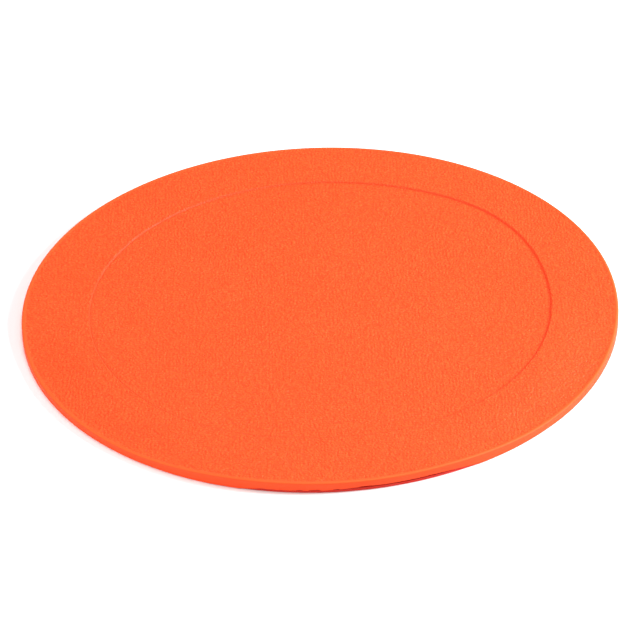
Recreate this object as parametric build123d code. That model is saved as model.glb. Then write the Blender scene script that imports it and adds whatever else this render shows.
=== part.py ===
"""Soft flat flying disc: a grained cover, a flat rim hoop, a foam core and a base sheet, bonded in layers.

The origin is the centre of the disc on the surface that it rests on. +Z points up, out of the grained face.
All sizes are in millimetres.
"""

from build123d import *
import math
import os

# Outline
disc_diameter = 228.6
band_width = 25.8

# Heights, measured up from the surface that the disc rests on
base_top = 1.2
disc_height = 4.6

# Cover
cover_thickness = 1.0
wall_thickness = 2.0
recess_depth = 0.6
arris_radius = 0.9

# The side of the recess is a slope with both its edges rounded
step_run = 0.9
step_radius = 0.25

# The recess is a circle that swells out of round at one side and is flattened at another
swell_height = 3.6
swell_direction = math.radians(41.0)
swell_sharpness = 11.0
dip_depth = 2.8
dip_direction = math.radians(-91.0)
dip_sharpness = 8.3
outline_points = 48

# Base sheet, cut a little smaller than the cover that stands on it
base_inset = 0.4
base_edge_radius = 0.2

# Thin lip of the wall that hides the edge of the base sheet, all round except where it is trimmed away in front
lip_thickness = 0.3
lip_foot = 0.1
trim_start = -104.0
trim_end = -62.0

# Fit between the loose inner pieces and what surrounds them
fit_gap = 0.2

# How far off a height an edge may lie and still count as lying at it
level_tolerance = 0.02

disc_radius = disc_diameter / 2
recess_radius = disc_radius - band_width
inner_radius = disc_radius - wall_thickness
recess_floor = disc_height - recess_depth
band_underside = disc_height - cover_thickness
centre_underside = band_underside - recess_depth


def bulge(angle, height, direction, sharpness):
    """Smooth rise to a height in one direction, which fades to nothing on both sides of it."""
    return height * math.exp(sharpness * (math.cos(angle - direction) - 1))


def recess_outline(growth):
    """Closed outline of the recess, midway down its side, grown outwards by a distance."""
    points = []
    for step in range(outline_points):
        angle = 2 * math.pi * step / outline_points
        radius = recess_radius + growth
        radius += bulge(angle, swell_height, swell_direction, swell_sharpness)
        radius -= bulge(angle, dip_depth, dip_direction, dip_sharpness)
        points.append((radius * math.cos(angle), radius * math.sin(angle)))
    return Spline(*points, periodic=True)


def recess_block(growth, low, high):
    """Solid with the outline of the recess between two heights."""
    face = make_face(recess_outline(growth))
    return Pos(0, 0, low) * extrude(face, high - low)


def recess_cut():
    """The recess with its sloped side, which carries on above the face so that it cuts cleanly."""
    floor = Pos(0, 0, recess_floor) * make_face(recess_outline(-step_run / 2))
    above = Pos(0, 0, disc_height + recess_depth) * make_face(recess_outline(1.5 * step_run))
    return loft([floor, above], ruled=True)


def disc_block(radius, low, high):
    """Plain round solid between two heights."""
    return Pos(0, 0, low) * extrude(Circle(radius), high - low)


def edges_at(solid, height, nearest, farthest):
    """Edges that lie flat at a height, between two distances from the axis."""
    found = []
    for edge in solid.edges():
        start = edge @ 0
        distance = math.hypot(start.X, start.Y)
        level = abs(edge.center().Z - height) < level_tolerance
        if level and nearest < distance < farthest:
            found.append(edge)
    return found


def trimmed_sector():
    """Wedge that reaches from the axis past the rim and holds the trimmed stretch of the lip."""
    start = math.radians(trim_start)
    end = math.radians(trim_end)
    near = (disc_diameter * math.cos(start), disc_diameter * math.sin(start))
    far = (disc_diameter * math.cos(end), disc_diameter * math.sin(end))
    return extrude(make_face(Polyline((0, 0), near, far, close=True)), base_top)


def grained_cover():
    """Top skin with the recess in its face and a wall that turns down around the rim."""
    cover = disc_block(disc_radius, lip_foot, disc_height)
    cover -= disc_block(disc_radius - lip_thickness, 0, base_top)
    cover -= trimmed_sector()
    cover = fillet(edges_at(cover, disc_height, inner_radius, disc_diameter), arris_radius)
    cover -= recess_cut()
    step_edges = edges_at(cover, disc_height, 0, inner_radius)
    step_edges += edges_at(cover, recess_floor, 0, inner_radius)
    cover = fillet(step_edges, step_radius)
    cover -= recess_block(cover_thickness, 0, centre_underside)
    hoop_room = disc_block(inner_radius, 0, band_underside)
    hoop_room -= recess_block(cover_thickness, 0, disc_height)
    cover -= hoop_room
    return cover


def rim_hoop():
    """Flat hoop under the band, whose inner edge makes the step in the cover."""
    hoop = disc_block(inner_radius - fit_gap, base_top, band_underside)
    return hoop - recess_block(cover_thickness, 0, disc_height)


def foam_core():
    """Thin soft disc that fills the hoop under the recess."""
    return recess_block(cover_thickness - fit_gap, base_top, centre_underside)


def base_sheet():
    """Sheet that closes the underside and shows as a thin line where the lip of the wall is trimmed away."""
    sheet = disc_block(disc_radius - base_inset, 0, base_top)
    return fillet(edges_at(sheet, 0, 0, disc_radius), base_edge_radius)


def write_nodes():
    """Write each piece to its own file."""
    os.makedirs("parts", exist_ok=True)
    for build_piece in (grained_cover, rim_hoop, foam_core, base_sheet):
        export_step(build_piece(), f"parts/{build_piece.__name__}.step")


write_nodes()
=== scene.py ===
"""Looks of a soft flat flying disc in a pale studio: grained cover, rim hoop, foam core and base sheet."""

import math

import bpy
import numpy as np
from mathutils import Matrix, Vector


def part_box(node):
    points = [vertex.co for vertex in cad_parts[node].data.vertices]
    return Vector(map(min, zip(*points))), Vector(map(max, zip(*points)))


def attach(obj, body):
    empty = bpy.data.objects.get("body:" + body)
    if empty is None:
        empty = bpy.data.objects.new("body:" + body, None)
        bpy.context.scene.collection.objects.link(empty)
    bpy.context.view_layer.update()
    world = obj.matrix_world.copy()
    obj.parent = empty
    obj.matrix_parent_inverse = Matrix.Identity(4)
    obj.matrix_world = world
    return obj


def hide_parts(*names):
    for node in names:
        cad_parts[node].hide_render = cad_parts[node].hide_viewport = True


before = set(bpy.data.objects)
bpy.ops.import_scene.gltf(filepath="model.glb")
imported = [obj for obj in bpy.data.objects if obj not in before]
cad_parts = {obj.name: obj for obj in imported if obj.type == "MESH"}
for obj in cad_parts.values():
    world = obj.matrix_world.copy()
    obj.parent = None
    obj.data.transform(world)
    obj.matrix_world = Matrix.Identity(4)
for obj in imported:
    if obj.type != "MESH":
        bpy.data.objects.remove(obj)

MM = 0.001
TURN = 2 * math.pi

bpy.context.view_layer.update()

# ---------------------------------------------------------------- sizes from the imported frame, in metres

cover_low, cover_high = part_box("grained_cover")
_, base_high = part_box("base_sheet")
hoop_low, hoop_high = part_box("rim_hoop")
core_low, core_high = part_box("foam_core")

DISC_RADIUS = cover_high.x
DISC_TOP = cover_high.z
LIP_FOOT = cover_low.z
WALL_FOOT = base_high.z
BASE_RADIUS = base_high.x
HOOP_RADIUS = hoop_high.x
COVER_THICKNESS = DISC_TOP - hoop_high.z
RECESS_DEPTH = hoop_high.z - core_high.z
RECESS_FLOOR = DISC_TOP - RECESS_DEPTH
FIT_GAP = 0.2 * MM

# Radii of the rounded edges
ARRIS_RADIUS = 0.9 * MM
FOOT_RADIUS = 0.14 * MM
BASE_EDGE_RADIUS = 0.2 * MM
CUT_RADIUS = 0.35 * MM

# The side of the recess: how far it runs inwards as it falls, and its rounded top edge
STEP_RUN = 0.6 * MM
STEP_RADIUS = 0.45 * MM

# The crease at the foot of that side. Its shape goes outwards, in shares of its width and of its depth
STEP_CREASE_DEPTH = 0.10 * MM
STEP_CREASE_WIDTH = 0.45 * MM
STEP_CREASE_SHAPE = [(-1, 0), (-0.6, 0.35), (-0.25, 0.9), (0, 1), (0.2, 0.5)]
STEP_CREASE_END = 0.35

# How much darker the painted shade in the crease at the foot of the step is than in a crease of the grain,
# and how much of the grain is lost in that crease
STEP_CREASE_SHADE = 1.2
PRESSED_SHARE = 0.7

# The faces swell with the step: in full this near to it, and not at all this near to the rim or inside this
# share of the recess
SWELL_MARGIN = 2 * MM
SWELL_START_SHARE = 0.55

# The cover's hidden inside, and the thin lip of its wall round the edge of the base sheet
WALL_THICKNESS = 2.0 * MM
LIP_THICKNESS = 0.3 * MM
INNER_RADIUS = DISC_RADIUS - WALL_THICKNESS
CENTRE_UNDERSIDE = RECESS_FLOOR - COVER_THICKNESS

# Mesh spacing on the grained face, on the plainer faces, on hidden ones, up the step and up the base's edge
FACE_SPACING = 0.46 * MM
PLAIN_SPACING = 1.3 * MM
HIDDEN_SPACING = 3.0 * MM
STEP_SPACING = 0.15 * MM
BASE_EDGE_SPACING = 0.25 * MM

# Rings across a face lie a little closer than their points, and each is turned by a share of its own spacing
RING_CLOSENESS = 0.92
RING_TURN = 0.382

# Where the rounded edge gets a painted highlight, a lighter orange, as shares of its radius below the face
HIGHLIGHT_CENTRE = 0.2
HIGHLIGHT_SPREAD = 0.22

# To both sides of the front the soft rim is pressed thinner. Each side starts, is full and ends in these
# directions. The shares are of the height above the base sheet, and the width is measured in from the rim
THIN_LEFT = np.radians([-184, -162, -132, -102])
THIN_RIGHT = np.radians([-70, -42, -28, 2])
THIN_SHARE_LEFT = 0.48
THIN_SHARE_RIGHT = 0.46
THIN_WIDTH = 21 * MM

# Leather grain of the face: the creases between its cells, whose width is a share of a cell
GRAIN_CELL = 1.25 * MM
CREASE_DEPTH = 0.22 * MM
CREASE_WIDTH = 0.6
GRAIN_FADE = 0.9 * MM

# How unevenly a point sits in its cell, and how far and over what length the creases wander
CELL_JITTER = 0.7
BEND_REACH = 0.3 * GRAIN_CELL
BEND_SIZE = 1.6 * GRAIN_CELL

# Fine swirls over the cells, with finer ones of half their size added
SWIRL_SIZE = 0.6 * MM
SWIRL_HEIGHT = 0.085 * MM
SWIRL_SHARPNESS = 2.2
FINER_SHARE = 0.4

# How far the faces of the inner layers dip, and how large the broad and the small dips are
UNEVENNESS = 0.06 * MM
BROAD_DIP = 9 * MM
SMALL_DIP = 2.6 * MM

# ---------------------------------------------------------------- repeatable noise

TABLE_SIDE = 512


def smooth(share):
    """Eases a share from 0 to 1 in and out."""
    share = np.clip(share, 0, 1)
    return share * share * (3 - 2 * share)


def soft_noise(x, y, size, seed):
    """Smooth noise from -1 to 1 whose lumps are about as large as size."""
    table = np.random.default_rng(seed).random((TABLE_SIDE, TABLE_SIDE))
    column = np.floor(x / size).astype(int)
    row = np.floor(y / size).astype(int)
    across = smooth(x / size - column)
    along = smooth(y / size - row)

    def corner(right, up):
        return table[(column + right) % TABLE_SIDE, (row + up) % TABLE_SIDE]

    low = corner(0, 0) * (1 - across) + corner(1, 0) * across
    high = corner(0, 1) * (1 - across) + corner(1, 1) * across
    return (low * (1 - along) + high * along) * 2 - 1


def pebbles(x, y, size, seed):
    """How far points are from the creases between cells of a size: 0 in a crease, about 1 in mid cell."""
    scatter = np.random.default_rng(seed).random((TABLE_SIDE, TABLE_SIDE, 2))
    table = (1 - CELL_JITTER) / 2 + CELL_JITTER * scatter
    column = np.floor(x / size).astype(int)
    row = np.floor(y / size).astype(int)
    nearest = np.full(x.shape, np.inf)
    second = np.full(x.shape, np.inf)
    for right in (-1, 0, 1):
        for up in (-1, 0, 1):
            cell = table[(column + right) % TABLE_SIDE, (row + up) % TABLE_SIDE]
            gap = np.hypot(
                (column + right + cell[..., 0]) * size - x,
                (row + up + cell[..., 1]) * size - y,
            )
            second = np.minimum(second, np.maximum(nearest, gap))
            nearest = np.minimum(nearest, gap)
    return (second - nearest) / size


def leather(x, y):
    """Height of the leather grain above or below the plain face."""
    bend_x = x + BEND_REACH * soft_noise(x, y, BEND_SIZE, 11)
    bend_y = y + BEND_REACH * soft_noise(x, y, BEND_SIZE, 13)
    creases = smooth(pebbles(bend_x, bend_y, GRAIN_CELL, 21) / CREASE_WIDTH) - 1
    swirls = soft_noise(x, y, SWIRL_SIZE, 15) + FINER_SHARE * soft_noise(x, y, SWIRL_SIZE / 2, 16)
    return CREASE_DEPTH * creases + SWIRL_HEIGHT * (np.tanh(SWIRL_SHARPNESS * swirls) - 1)


# ---------------------------------------------------------------- round meshes, built ring by ring


def outline_of(node):
    """Angles and radii of a CAD node's outer edge, in order of angle."""
    points = np.array([vertex.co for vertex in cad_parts[node].data.vertices])
    radii = np.hypot(points[:, 0], points[:, 1])
    rim = radii > 0.9 * radii.max()
    angles = np.arctan2(points[rim, 1], points[rim, 0])
    order = np.argsort(angles)
    return angles[order], radii[rim][order]


CORE_ANGLES, CORE_RADII = outline_of("foam_core")
CORE_RADIUS = float(np.median(CORE_RADII))
RECESS_RADIUS = CORE_RADIUS - COVER_THICKNESS + FIT_GAP


def swell(angles):
    """How far the outline of the recess lies outside a true circle. Below zero it lies inside."""
    return np.interp(angles, CORE_ANGLES, CORE_RADII, period=TURN) - CORE_RADIUS


def swell_share(radii):
    """How much of the swell a circle takes: all of it around the step, none at the centre and the rim."""
    start = SWELL_START_SHARE * RECESS_RADIUS
    full = [RECESS_RADIUS - SWELL_MARGIN, RECESS_RADIUS + SWELL_MARGIN]
    return smooth(np.interp(radii, [start, *full, DISC_RADIUS - SWELL_MARGIN], [0, 1, 1, 0]))


def count_for(radius, spacing):
    """How many points go round a circle, about a spacing apart."""
    return max(6, round(TURN * radius / spacing))


def arc(centre, radius, start, end, steps):
    """Points of an arc by radius and height, between angles in degrees."""
    turns = np.radians(np.linspace(start, end, steps + 1))
    return [(centre[0] + radius * math.cos(t), centre[1] + radius * math.sin(t)) for t in turns]


def spread(start, end, spacing):
    """Points from start up to but not including end, about a spacing apart, by radius and height."""
    start, end = np.array(start), np.array(end)
    steps = max(1, round(float(np.linalg.norm(end - start)) / spacing))
    return [tuple(start + (end - start) * step / steps) for step in range(steps)]


def facing(count, phase, other_count, other_phase, side):
    """For each gap between the points of a ring, the point of another ring that faces it."""
    if other_count == 1:
        return np.zeros(count, int)
    middles = (np.arange(count) + phase + 0.5) / count
    others = (np.arange(other_count) + other_phase + 0.5) / other_count
    return np.searchsorted(others, middles, side=side) % other_count


class RoundMesh:
    """A closed skin of rings about +Z.

    It starts and ends on the axis, or it is a hoop whose last ring meets its first.
    """

    def __init__(self):
        self.radii = []
        self.heights = []
        self.angles = []
        self.groups = []
        self.rings = []
        self.total = 0

    def ring(self, radius, height, count, group, phase=0.0):
        """Add a ring of points. phase turns it by a share of its own spacing."""
        angles = TURN * (np.arange(count) + phase) / count
        self.radii.append(np.full(count, radius))
        self.heights.append(np.full(count, height))
        self.angles.append(angles)
        self.groups.append(np.full(count, group))
        self.rings.append((self.total, count, phase))
        self.total += count

    def profile(self, points, count, group):
        """Add one ring for each point of a profile, all with the same count."""
        for radius, height in points:
            self.ring(radius, height, count, group)

    def flat(self, start, end, height, spacing, group):
        """Add evenly spaced rings across a flat face, from one radius to another."""
        steps = max(2, round(abs(end - start) / (RING_CLOSENESS * spacing)))
        for step in range(1, steps):
            radius = start + (end - start) * step / steps
            self.ring(radius, height, count_for(radius, spacing), group, phase=(step * RING_TURN) % 1)

    def pole(self, height):
        """Add a point on the axis, first or last. Its triangles take the group of the ring beside it."""
        self.ring(0, height, 1, 0)

    def triangles(self):
        """Corners of all triangles, facing outwards, and the group that each belongs to."""
        made = []
        following = self.rings[1:]
        if self.rings[0][1] > 1:
            following = following + self.rings[:1]
        for (start_a, count_a, phase_a), (start_b, count_b, phase_b) in zip(self.rings, following):
            if count_a > 1:
                steps = np.arange(count_a)
                met = start_b + facing(count_a, phase_a, count_b, phase_b, "left")
                made.append(np.stack([start_a + (steps + 1) % count_a, start_a + steps, met], 1))
            if count_b > 1:
                steps = np.arange(count_b)
                met = start_a + facing(count_b, phase_b, count_a, phase_a, "right")
                made.append(np.stack([start_b + steps, start_b + (steps + 1) % count_b, met], 1))
        corners = np.concatenate(made)
        groups = np.concatenate(self.groups)
        return corners, groups[corners].max(1)

    def columns(self):
        """Radius, height, angle and group of every point."""
        return (
            np.concatenate(self.radii),
            np.concatenate(self.heights),
            np.concatenate(self.angles),
            np.concatenate(self.groups),
        )


def mesh_object(name, x, y, z, corners, slots, materials, paints=None):
    """A smooth-shaded mesh object from points, triangles, and a material slot for each triangle.

    paints are named numbers for each point that the materials read.
    """
    mesh = bpy.data.meshes.new(name)
    mesh.vertices.add(len(x))
    mesh.vertices.foreach_set("co", np.stack([x, y, z], 1).astype(np.float32).ravel())
    mesh.loops.add(corners.size)
    mesh.loops.foreach_set("vertex_index", corners.astype(np.int32).ravel())
    mesh.polygons.add(len(corners))
    mesh.polygons.foreach_set("loop_start", np.arange(0, corners.size, 3, dtype=np.int32))
    mesh.polygons.foreach_set("material_index", slots.astype(np.int32))
    mesh.polygons.foreach_set("use_smooth", np.ones(len(corners), bool))
    mesh.update(calc_edges=True)
    mesh.validate()
    for key, values in (paints or {}).items():
        mesh.attributes.new(key, "FLOAT", "POINT").data.foreach_set("value", values.astype(np.float32))
    for material in materials:
        mesh.materials.append(material)
    piece = bpy.data.objects.new(name, mesh)
    bpy.context.scene.collection.objects.link(piece)
    return piece


# ---------------------------------------------------------------- materials


class Nodes:
    """A new material's node tree, with short calls for what the materials here need."""

    def __init__(self, name):
        self.material = bpy.data.materials.new(name)
        self.material.use_nodes = True
        self.tree = self.material.node_tree
        self.shader = self.tree.nodes["Principled BSDF"]
        self.place = self.add("ShaderNodeTexCoord").outputs["Object"]

    def add(self, kind, **values):
        """A new node. Values are its inputs by name, or its own settings."""
        node = self.tree.nodes.new(kind)
        for key, value in values.items():
            if key in node.inputs:
                node.inputs[key].default_value = value
            else:
                setattr(node, key, value)
        return node

    def link(self, source, node, socket):
        self.tree.links.new(source, node.inputs[socket])

    def noise(self, size, detail=2.0, roughness=0.5):
        """Noise from 0 to 1 with lumps of about this size."""
        node = self.add("ShaderNodeTexNoise", Scale=1 / size, Detail=detail, Roughness=roughness)
        self.link(self.place, node, "Vector")
        return node.outputs["Fac"]

    def ramp(self, source, stops):
        """Colour or grey by a source from 0 to 1. Each stop is a place and a colour."""
        node = self.add("ShaderNodeValToRGB")
        points = node.color_ramp.elements
        while len(points) < len(stops):
            points.new(0.5)
        for point, (place, color) in zip(points, stops):
            point.position = place
            point.color = (*color, 1)
        self.link(source, node, "Fac")
        return node.outputs["Color"]

    def spread_of(self, source, low, high, to_low, to_high):
        """A source from low to high, moved to another range."""
        node = self.add("ShaderNodeMapRange")
        sockets = ("From Min", "From Max", "To Min", "To Max")
        for socket, value in zip(sockets, (low, high, to_low, to_high)):
            node.inputs[socket].default_value = value
        self.link(source, node, "Value")
        return node.outputs["Result"]

    def mix(self, share, first, second):
        """The first colour, from a socket, mixed with a second, plain one by a share from another socket."""
        node = self.add("ShaderNodeMix", data_type="RGBA")
        self.link(share, node, 0)
        self.link(first, node, 6)
        node.inputs[7].default_value = (*second, 1)
        return node.outputs[2]

    def bump(self, height, distance, under=None):
        """A bump of a height from 0 to 1, over another bump if one is given."""
        node = self.add("ShaderNodeBump", Strength=1, Distance=distance)
        self.link(height, node, "Height")
        if under is not None:
            self.link(under, node, "Normal")
        return node.outputs["Normal"]


def grained_vinyl():
    """Satin orange vinyl with leather grain, with painted shade in its creases and at the foot of the step.
    """
    n = Nodes("grained_vinyl")
    warp = n.add("ShaderNodeTexNoise", Scale=1 / (1.6 * MM), Detail=2.0)
    n.link(n.place, warp, "Vector")
    shifted = n.add("ShaderNodeVectorMath", operation="MULTIPLY_ADD")
    n.link(warp.outputs["Color"], shifted, 0)
    shifted.inputs[1].default_value = (0.5 * MM, 0.5 * MM, 0.5 * MM)
    n.link(n.place, shifted, 2)
    cells = n.add("ShaderNodeTexVoronoi", feature="DISTANCE_TO_EDGE", Scale=1 / (1.3 * MM))
    n.link(shifted.outputs["Vector"], cells, "Vector")
    creases = n.spread_of(cells.outputs["Distance"], 0.0, 0.28, 0.0, 1.0)
    patches = n.noise(34 * MM, detail=3.0)
    tint = n.ramp(patches, [(0.3, (0.935, 0.085, 0.0112)), (0.7, (0.955, 0.093, 0.0140))])
    specks = n.noise(0.5 * MM, detail=3.0)
    tint = n.mix(n.spread_of(specks, 0.35, 0.65, 0.0, 0.22), tint, (0.96, 0.101, 0.015))
    # Painted shade: the bump's creases are mixed towards a darker red
    tint = n.mix(n.spread_of(creases, 0.0, 0.6, 0.25, 0.0), tint, (0.80, 0.042, 0.004))
    # Painted shade in the hollows of the grain and, stronger, in the crease at the foot of the step
    crease_shade = n.add("ShaderNodeAttribute", attribute_name="crease").outputs["Fac"]
    tint = n.mix(n.spread_of(crease_shade, 0.35, 1.3, 0.0, 0.7), tint, (0.84, 0.044, 0.004))
    n.link(tint, n.shader, "Base Color")
    n.link(n.spread_of(n.noise(3.0 * MM, detail=4.0), 0.3, 0.7, 0.52, 0.64), n.shader, "Roughness")
    grain = n.bump(creases, 0.11 * MM)
    grain = n.bump(n.noise(0.33 * MM, detail=3.0), 0.012 * MM, under=grain)
    n.link(grain, n.shader, "Normal")
    n.shader.inputs["Specular IOR Level"].default_value = 0.27
    return n.material


def smooth_vinyl():
    """The same vinyl where it has no grain, on the rounded edge and the wall, with a painted highlight along
    the rounded edge.
    """
    n = Nodes("smooth_vinyl")
    patches = n.noise(22 * MM, detail=3.0)
    tint = n.ramp(patches, [(0.3, (0.940, 0.069, 0.0115)), (0.7, (0.960, 0.077, 0.0145))])
    specks = n.noise(0.6 * MM, detail=2.0)
    tint = n.mix(n.spread_of(specks, 0.4, 0.7, 0.0, 0.15), tint, (0.96, 0.086, 0.016))
    # Painted highlight: the rounded edge is mixed towards a lighter orange, by the share painted on its
    # points
    highlight_share = n.add("ShaderNodeAttribute", attribute_name="painted_highlight").outputs["Fac"]
    tint = n.mix(n.spread_of(highlight_share, 0.0, 1.0, 0.0, 0.8), tint, (0.97, 0.112, 0.018))
    n.link(tint, n.shader, "Base Color")
    n.link(n.spread_of(n.noise(1.6 * MM, detail=4.0), 0.3, 0.7, 0.54, 0.66), n.shader, "Roughness")
    n.link(n.bump(n.noise(0.7 * MM, detail=3.0), 0.010 * MM), n.shader, "Normal")
    n.shader.inputs["Specular IOR Level"].default_value = 0.2
    return n.material


def matte_vinyl(name, dark, light):
    """Matte vinyl with a fine sanded texture, for the underside and the hoop."""
    n = Nodes(name)
    tint = n.ramp(n.noise(26 * MM, detail=4.0), [(0.3, dark), (0.7, light)])
    specks = n.noise(0.45 * MM, detail=2.0)
    tint = n.mix(n.spread_of(specks, 0.4, 0.75, 0.0, 0.25), tint, light)
    n.link(tint, n.shader, "Base Color")
    n.link(n.spread_of(n.noise(2.0 * MM, detail=4.0), 0.3, 0.7, 0.66, 0.82), n.shader, "Roughness")
    sand = n.bump(n.noise(0.42 * MM, detail=4.0, roughness=0.6), 0.03 * MM)
    n.link(sand, n.shader, "Normal")
    return n.material


def closed_cell_foam():
    """Pale foam with fine closed cells."""
    n = Nodes("closed_cell_foam")
    cells = n.add("ShaderNodeTexVoronoi", feature="F1", Scale=1 / (0.8 * MM))
    n.link(n.place, cells, "Vector")
    tint = n.ramp(n.noise(18 * MM, detail=3.0), [(0.3, (0.78, 0.70, 0.57)), (0.7, (0.88, 0.82, 0.70))])
    tint = n.mix(n.spread_of(cells.outputs["Distance"], 0.1, 0.6, 0.3, 0.0), tint, (0.62, 0.52, 0.38))
    n.link(tint, n.shader, "Base Color")
    n.link(n.spread_of(n.noise(1.2 * MM, detail=3.0), 0.3, 0.7, 0.82, 0.95), n.shader, "Roughness")
    n.link(n.bump(cells.outputs["Distance"], 0.12 * MM), n.shader, "Normal")
    return n.material


def pale_floor():
    """Plain near-white studio floor."""
    n = Nodes("pale_floor")
    tint = n.ramp(n.noise(0.5, detail=1.0), [(0.3, (0.93, 0.93, 0.93)), (0.7, (0.95, 0.95, 0.95))])
    n.link(tint, n.shader, "Base Color")
    n.shader.inputs["Roughness"].default_value = 0.9
    n.shader.inputs["Specular IOR Level"].default_value = 0.1
    return n.material


# ---------------------------------------------------------------- pieces

# Every point of a skin belongs to one of these groups
GROUPS = range(5)
FACE, EDGE, LIP, UNDER, INSIDE = GROUPS

# The lip is trimmed away over this stretch at the front, and the cut fades out at both its ends
TRIM_START, TRIM_END = math.radians(-104), math.radians(-62)
TRIM_FADE = math.radians(6)

# In its middle the cut runs up into the wall, by half of this height at the half width
HIGH_CUT = 0.6 * MM
HIGH_CUT_DIRECTION = math.radians(-76)
HIGH_CUT_HALF_WIDTH = math.radians(10)
HIGH_CUT_STEEPNESS = 1.2

# Where the cut is most ragged, and how quickly that fades to both sides
RAGGED_DIRECTION = math.radians(-91)
RAGGED_SHARPNESS = 60.0

# How far the cut strays: a slow wander, a fine roughness and nicks. Of two heights the second is added where
# the cut is most ragged, and nicks crowd there too
WANDER_HEIGHT, WANDER_LENGTH = 0.05 * MM, 14 * MM
ROUGH_HEIGHTS, ROUGH_LENGTH = (0.02 * MM, 0.07 * MM), 1.1 * MM
NICK_HEIGHTS, NICK_LENGTH = (0.08 * MM, 0.26 * MM), 2.3 * MM
NICK_START, NICK_EASE, NICK_CROWDING = 0.55, 0.4, 0.45

# The wall's underside lies at least this far above the cut
UNDER_GAP = 0.02 * MM


def away_from(direction, angles):
    """How far angles lie from a direction, either way round."""
    return np.abs((angles - direction + math.pi) % TURN - math.pi)


def trimmed(angles):
    """How much of the lip is trimmed away: 0 where it is whole, 1 where it is gone."""
    away = away_from((TRIM_START + TRIM_END) / 2, angles)
    return smooth(((TRIM_END - TRIM_START) / 2 + TRIM_FADE / 2 - away) / TRIM_FADE)


def high_cut(angles):
    """How far the cut runs up into the wall."""
    away = away_from(HIGH_CUT_DIRECTION, angles)
    return HIGH_CUT * smooth(0.5 + HIGH_CUT_STEEPNESS * (1 - away / HIGH_CUT_HALF_WIDTH))


def rim_noise(angles, length, seed):
    """Smooth noise from -1 to 1 along the rim, whose lumps are about this long."""
    around = (angles % TURN) * DISC_RADIUS
    return soft_noise(around, 0 * around, length, seed)


def ragged_edge(angles):
    """How far a trimmed edge strays from its line."""
    ragged = np.exp(RAGGED_SHARPNESS * (np.cos(angles - RAGGED_DIRECTION) - 1))
    wander = WANDER_HEIGHT * rim_noise(angles, WANDER_LENGTH, 31)
    rough = (ROUGH_HEIGHTS[0] + ROUGH_HEIGHTS[1] * ragged) * rim_noise(angles, ROUGH_LENGTH, 32)
    nicks = rim_noise(angles, NICK_LENGTH, 33) + NICK_CROWDING * ragged
    nick_height = NICK_HEIGHTS[0] + NICK_HEIGHTS[1] * ragged
    return wander + rough + nick_height * smooth((nicks - NICK_START) / NICK_EASE)


def pressed_thin(heights, radii, angles):
    """Heights drawn down towards the base sheet where the rim is pressed thinner."""
    left = THIN_SHARE_LEFT * smooth(np.interp(angles, THIN_LEFT, [0, 1, 1, 0], period=TURN))
    right = THIN_SHARE_RIGHT * smooth(np.interp(angles, THIN_RIGHT, [0, 1, 1, 0], period=TURN))
    near_rim = smooth((radii - DISC_RADIUS + THIN_WIDTH) / THIN_WIDTH)
    return heights - np.maximum(heights - WALL_FOOT, 0) * (left + right) * near_rim


def step_profile():
    """Side of the recess from its floor up to the band: a crease, a slope and a rounded top edge."""
    slope = math.atan2(RECESS_DEPTH, STEP_RUN)
    foot = RECESS_RADIUS - STEP_RUN / 2
    top = RECESS_RADIUS + STEP_RUN / 2 + STEP_RADIUS * math.tan(slope / 2)
    rounded = arc((top, DISC_TOP - STEP_RADIUS), STEP_RADIUS, 90 + math.degrees(slope), 90, steps=5)
    crease = []
    for across, down in STEP_CREASE_SHAPE:
        crease.append((foot + across * STEP_CREASE_WIDTH, RECESS_FLOOR - down * STEP_CREASE_DEPTH))
    end = STEP_CREASE_END * STEP_CREASE_WIDTH
    start = (foot + end, RECESS_FLOOR + end * math.tan(slope))
    return crease + spread(start, rounded[0], STEP_SPACING) + rounded


def trimmed_heights(heights, angles, groups):
    """Heights on the wall, its lip and its underside, drawn up where the lip is trimmed away."""
    cut = LIP_FOOT + (WALL_FOOT - LIP_FOOT) * trimmed(angles) + high_cut(angles) + ragged_edge(angles)
    whole_foot = LIP_FOOT + FOOT_RADIUS
    arris_foot = DISC_TOP - ARRIS_RADIUS
    share = np.clip((heights - whole_foot) / (arris_foot - whole_foot), 0, 1)
    on_wall = cut + FOOT_RADIUS + (arris_foot - cut - FOOT_RADIUS) * share
    return np.select(
        [(groups == EDGE) & (heights < arris_foot), groups == LIP, groups == UNDER],
        [on_wall, cut + heights - LIP_FOOT, np.maximum(WALL_FOOT, cut + UNDER_GAP)],
        heights,
    )


def add_outside(skin):
    """Add the cover's grained face with its step, its rounded edge, its wall and the foot of the wall."""
    step = step_profile()
    skin.pole(RECESS_FLOOR)
    skin.flat(0, step[0][0], RECESS_FLOOR, FACE_SPACING, FACE)
    skin.profile(step, count_for(RECESS_RADIUS, FACE_SPACING), FACE)
    skin.flat(step[-1][0], DISC_RADIUS - ARRIS_RADIUS, DISC_TOP, FACE_SPACING, FACE)
    count = count_for(DISC_RADIUS, FACE_SPACING)
    arris = (DISC_RADIUS - ARRIS_RADIUS, DISC_TOP - ARRIS_RADIUS)
    foot = (DISC_RADIUS - FOOT_RADIUS, LIP_FOOT + FOOT_RADIUS)
    wall = spread((DISC_RADIUS, arris[1]), (DISC_RADIUS, foot[1]), FACE_SPACING)
    skin.profile(arc(arris, ARRIS_RADIUS, 90, 0, steps=9), count, EDGE)
    skin.profile(wall[1:], count, EDGE)
    skin.profile(arc(foot, FOOT_RADIUS, 0, -90, steps=4), count, LIP)
    skin.ring(DISC_RADIUS - LIP_THICKNESS, LIP_FOOT, count, LIP)


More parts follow.
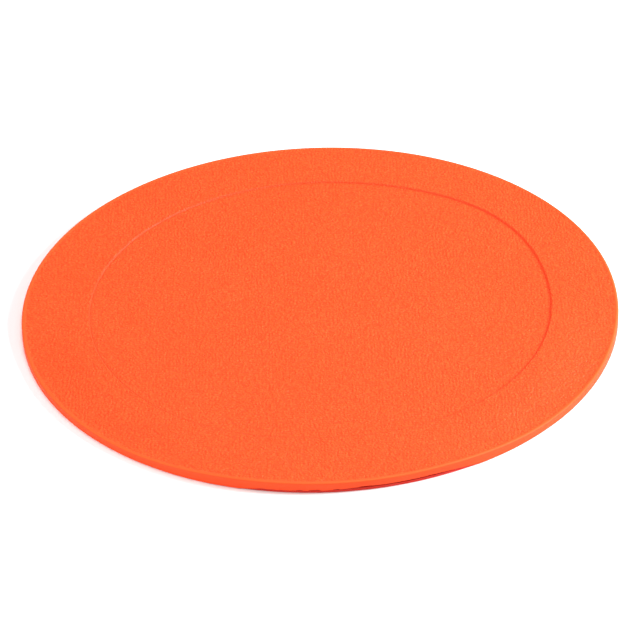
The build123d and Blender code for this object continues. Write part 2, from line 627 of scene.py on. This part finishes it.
def add_inside(skin):
    """Add the underside of the cover's wall and its hidden inside, which lies over the hoop and the core."""
    lip_inside = DISC_RADIUS - LIP_THICKNESS
    underside = spread((lip_inside, WALL_FOOT), (INNER_RADIUS, WALL_FOOT), FACE_SPACING)
    skin.profile(underside, count_for(DISC_RADIUS, FACE_SPACING), UNDER)
    band_underside = DISC_TOP - COVER_THICKNESS
    inner_step = RECESS_RADIUS + COVER_THICKNESS
    count = count_for(DISC_RADIUS, HIDDEN_SPACING)
    skin.ring(INNER_RADIUS, WALL_FOOT, count, UNDER)
    skin.ring(INNER_RADIUS, band_underside, count, INSIDE)
    skin.flat(INNER_RADIUS, inner_step, band_underside, HIDDEN_SPACING, INSIDE)
    skin.profile([(inner_step, band_underside), (inner_step, CENTRE_UNDERSIDE)], count, INSIDE)
    skin.flat(inner_step, 0, CENTRE_UNDERSIDE, HIDDEN_SPACING, INSIDE)
    skin.pole(CENTRE_UNDERSIDE)


def cover_piece():
    """The cover as one closed skin, with its grain, its pressed step and its trimmed lip."""
    skin = RoundMesh()
    add_outside(skin)
    add_inside(skin)
    corners, slots = skin.triangles()
    radii, heights, angles, groups = skin.columns()
    radii = radii + swell(angles) * swell_share(radii)
    x, y = radii * np.cos(angles), radii * np.sin(angles)
    on_face = (groups == FACE) & (heights > CENTRE_UNDERSIDE + COVER_THICKNESS / 2)
    fade = smooth((DISC_RADIUS - ARRIS_RADIUS - radii) / GRAIN_FADE)
    grain = np.where(on_face, leather(x, y) * fade, 0)
    from_foot = (radii - swell(angles) - RECESS_RADIUS + STEP_RUN / 2) / STEP_CREASE_WIDTH
    pressed = np.where(on_face, np.exp(-(from_foot**2)), 0)
    # Painted highlight on the rounded edge, strongest a little below the face
    from_highlight = ((DISC_TOP - heights) / ARRIS_RADIUS - HIGHLIGHT_CENTRE) / HIGHLIGHT_SPREAD
    highlight_share = np.where(groups == EDGE, np.exp(-(from_highlight**2)), 0)
    heights = trimmed_heights(heights, angles, groups)
    heights = pressed_thin(heights, radii, angles) + grain * (1 - PRESSED_SHARE * pressed)
    # The crease paint is painted shade: deeper hollows of the grain darker, and the foot of the step darkest
    paints = {"crease": STEP_CREASE_SHADE * pressed - grain / CREASE_DEPTH, "painted_highlight": highlight_share}
    plain = smooth_vinyl()
    skins = [grained_vinyl() if group == FACE else plain for group in GROUPS]
    return mesh_object("cover_skin", x, y, heights, corners, slots, skins, paints)


def skin_piece(name, skin, material, shaped=False):
    """A piece from a closed skin. A shaped one follows the recess and the pressed rim, a little unevenly."""
    radii, heights, angles, _ = skin.columns()
    corners, slots = skin.triangles()
    if shaped:
        radii = radii + swell(angles) * swell_share(radii)
    x, y = radii * np.cos(angles), radii * np.sin(angles)
    if shaped:
        dips = 0.5 + 0.3 * soft_noise(x, y, BROAD_DIP, 41) + 0.2 * soft_noise(x, y, SMALL_DIP, 42)
        heights = heights - np.sign(heights - heights.mean()) * UNEVENNESS * dips
        heights = pressed_thin(heights, radii, angles)
    return mesh_object(name, x, y, heights, corners, slots, [material])


def base_piece():
    """The base sheet, seen from below and as a sliver under the wall."""
    skin = RoundMesh()
    count = count_for(BASE_RADIUS, PLAIN_SPACING / 2)
    side = spread((BASE_RADIUS, base_high.z), (BASE_RADIUS, BASE_EDGE_RADIUS), BASE_EDGE_SPACING)
    edge = BASE_RADIUS - BASE_EDGE_RADIUS
    skin.pole(base_high.z)
    skin.flat(0, BASE_RADIUS, base_high.z, HIDDEN_SPACING, FACE)
    skin.profile(side, count, FACE)
    skin.profile(arc((edge, BASE_EDGE_RADIUS), BASE_EDGE_RADIUS, 0, -90, steps=6), count, FACE)
    skin.flat(edge, 0, 0, PLAIN_SPACING, FACE)
    skin.pole(0)
    # Painted shade: the base sheet is a darker red than the cover, for the dark strip seen under the wall's
    # foot
    vinyl = matte_vinyl("base_vinyl_painted_shade", (0.56, 0.013, 0.003), (0.68, 0.022, 0.005))
    return skin_piece("base_skin", skin, vinyl)


def add_cut_corner(skin, radius, height, start, count):
    """Add a quarter round to a die-cut edge, turning down from an angle."""
    skin.profile(arc((radius, height), CUT_RADIUS, start, start - 90, steps=4), count, FACE)


def hoop_piece():
    """The flat hoop, die-cut from sheet to lie between the recess and the wall."""
    skin = RoundMesh()
    inner = RECESS_RADIUS + COVER_THICKNESS + CUT_RADIUS
    outer = HOOP_RADIUS - CUT_RADIUS
    low, high = hoop_low.z + CUT_RADIUS, hoop_high.z - CUT_RADIUS
    count = count_for(HOOP_RADIUS, PLAIN_SPACING)
    add_cut_corner(skin, inner, high, 180, count)
    skin.flat(inner, outer, hoop_high.z, PLAIN_SPACING, FACE)
    add_cut_corner(skin, outer, high, 90, count)
    add_cut_corner(skin, outer, low, 0, count)
    skin.flat(outer, inner, hoop_low.z, PLAIN_SPACING, FACE)
    add_cut_corner(skin, inner, low, -90, count)
    vinyl = matte_vinyl("hoop_vinyl", (0.50, 0.045, 0.008), (0.60, 0.060, 0.012))
    return skin_piece("hoop_skin", skin, vinyl, shaped=True)


def core_piece():
    """The foam core, die-cut to the outline of the recess."""
    skin = RoundMesh()
    edge = CORE_RADIUS - CUT_RADIUS
    count = count_for(CORE_RADIUS, PLAIN_SPACING)
    skin.pole(core_high.z)
    skin.flat(0, edge, core_high.z, PLAIN_SPACING, FACE)
    add_cut_corner(skin, edge, core_high.z - CUT_RADIUS, 90, count)
    add_cut_corner(skin, edge, core_low.z + CUT_RADIUS, 0, count)
    skin.flat(edge, 0, core_low.z, PLAIN_SPACING, FACE)
    skin.pole(core_low.z)
    return skin_piece("core_skin", skin, closed_cell_foam(), shaped=True)


def place(piece, slot, *nodes):
    """Tie a piece to the one body, and hide the CAD nodes that it stands for. The slot is not used."""
    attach(piece, "root")
    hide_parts(*nodes)


place(cover_piece(), "cover_orange", "grained_cover")
place(base_piece(), "base_orange", "base_sheet")
place(hoop_piece(), "hoop_orange", "rim_hoop")
core = core_piece()
place(core, "core_foam", "foam_core")

# ---------------------------------------------------------------- studio

VIEW_ELEVATION = math.radians(34.4)
VIEW_ROLL = math.radians(1.83)
VIEW_DISTANCE = 15.83 * DISC_RADIUS
AIM_RIGHT = -0.0004 * DISC_RADIUS
AIM_UP = -0.0462 * DISC_RADIUS
LENS = 265.6
SENSOR = 36.0


def camera():
    """Long-lens camera in front of the disc, rolled a little, as in the reference view."""
    forward = Vector((0, math.cos(VIEW_ELEVATION), -math.sin(VIEW_ELEVATION)))
    up = Vector((0, math.sin(VIEW_ELEVATION), math.cos(VIEW_ELEVATION)))
    right = Vector((1, 0, 0))
    data = bpy.data.cameras.new("camera")
    data.lens = LENS
    data.sensor_width = SENSOR
    data.clip_end = 50
    made = bpy.data.objects.new("camera", data)
    bpy.context.scene.collection.objects.link(made)
    rolled_up = up * math.cos(VIEW_ROLL) + right * math.sin(VIEW_ROLL)
    rolled_right = right * math.cos(VIEW_ROLL) - up * math.sin(VIEW_ROLL)
    turn = Matrix((rolled_right, rolled_up, -forward)).transposed()
    target = Vector((0, 0, DISC_TOP)) + right * AIM_RIGHT + up * AIM_UP
    made.matrix_world = Matrix.Translation(target - forward * VIEW_DISTANCE) @ turn.to_4x4()
    bpy.context.scene.camera = made


def soft_box(name, azimuth, elevation, distance, size, power):
    """A square soft light aimed at the disc. Azimuth is from +X towards +Y."""
    data = bpy.data.lights.new(name, "AREA")
    data.shape = "SQUARE"
    data.size = size
    data.energy = power
    made = bpy.data.objects.new(name, data)
    bpy.context.scene.collection.objects.link(made)
    a, e = math.radians(azimuth), math.radians(elevation)
    towards = Vector((math.cos(a) * math.cos(e), math.sin(a) * math.cos(e), math.sin(e)))
    made.location = towards * distance
    made.rotation_mode = "QUATERNION"
    made.rotation_quaternion = towards.to_track_quat("Z", "Y")


def floor():
    """A wide floor slab under the disc."""
    side, depth = 6.0, 0.02
    mesh = bpy.data.meshes.new("floor")
    across = np.array([-1, 1, 1, -1, -1, 1, 1, -1]) * side / 2
    along = np.array([-1, -1, 1, 1, -1, -1, 1, 1]) * side / 2
    level = np.array([-1, -1, -1, -1, 0, 0, 0, 0]) * depth
    faces = [(3, 2, 1, 0), (4, 5, 6, 7), (0, 1, 5, 4), (1, 2, 6, 5), (2, 3, 7, 6), (3, 0, 4, 7)]
    mesh.from_pydata(list(zip(across, along, level)), [], faces)
    mesh.materials.append(pale_floor())
    made = bpy.data.objects.new("floor", mesh)
    bpy.context.scene.collection.objects.link(made)


def world_light():
    """Even white light from all round."""
    world = bpy.data.worlds.new("studio")
    world.use_nodes = True
    background = world.node_tree.nodes["Background"]
    background.inputs["Color"].default_value = (1, 1, 1, 1)
    background.inputs["Strength"].default_value = 0.38
    bpy.context.scene.world = world


camera()
floor()
world_light()
soft_box("key", azimuth=4, elevation=29, distance=1.3, size=0.45, power=31)
soft_box("left", azimuth=198, elevation=22, distance=1.4, size=0.5, power=9)
soft_box("front", azimuth=-90, elevation=50, distance=1.5, size=0.4, power=2.5)
soft_box("top", azimuth=60, elevation=82, distance=1.5, size=0.8, power=9)
bpy.context.scene.view_settings.view_transform = "Standard"
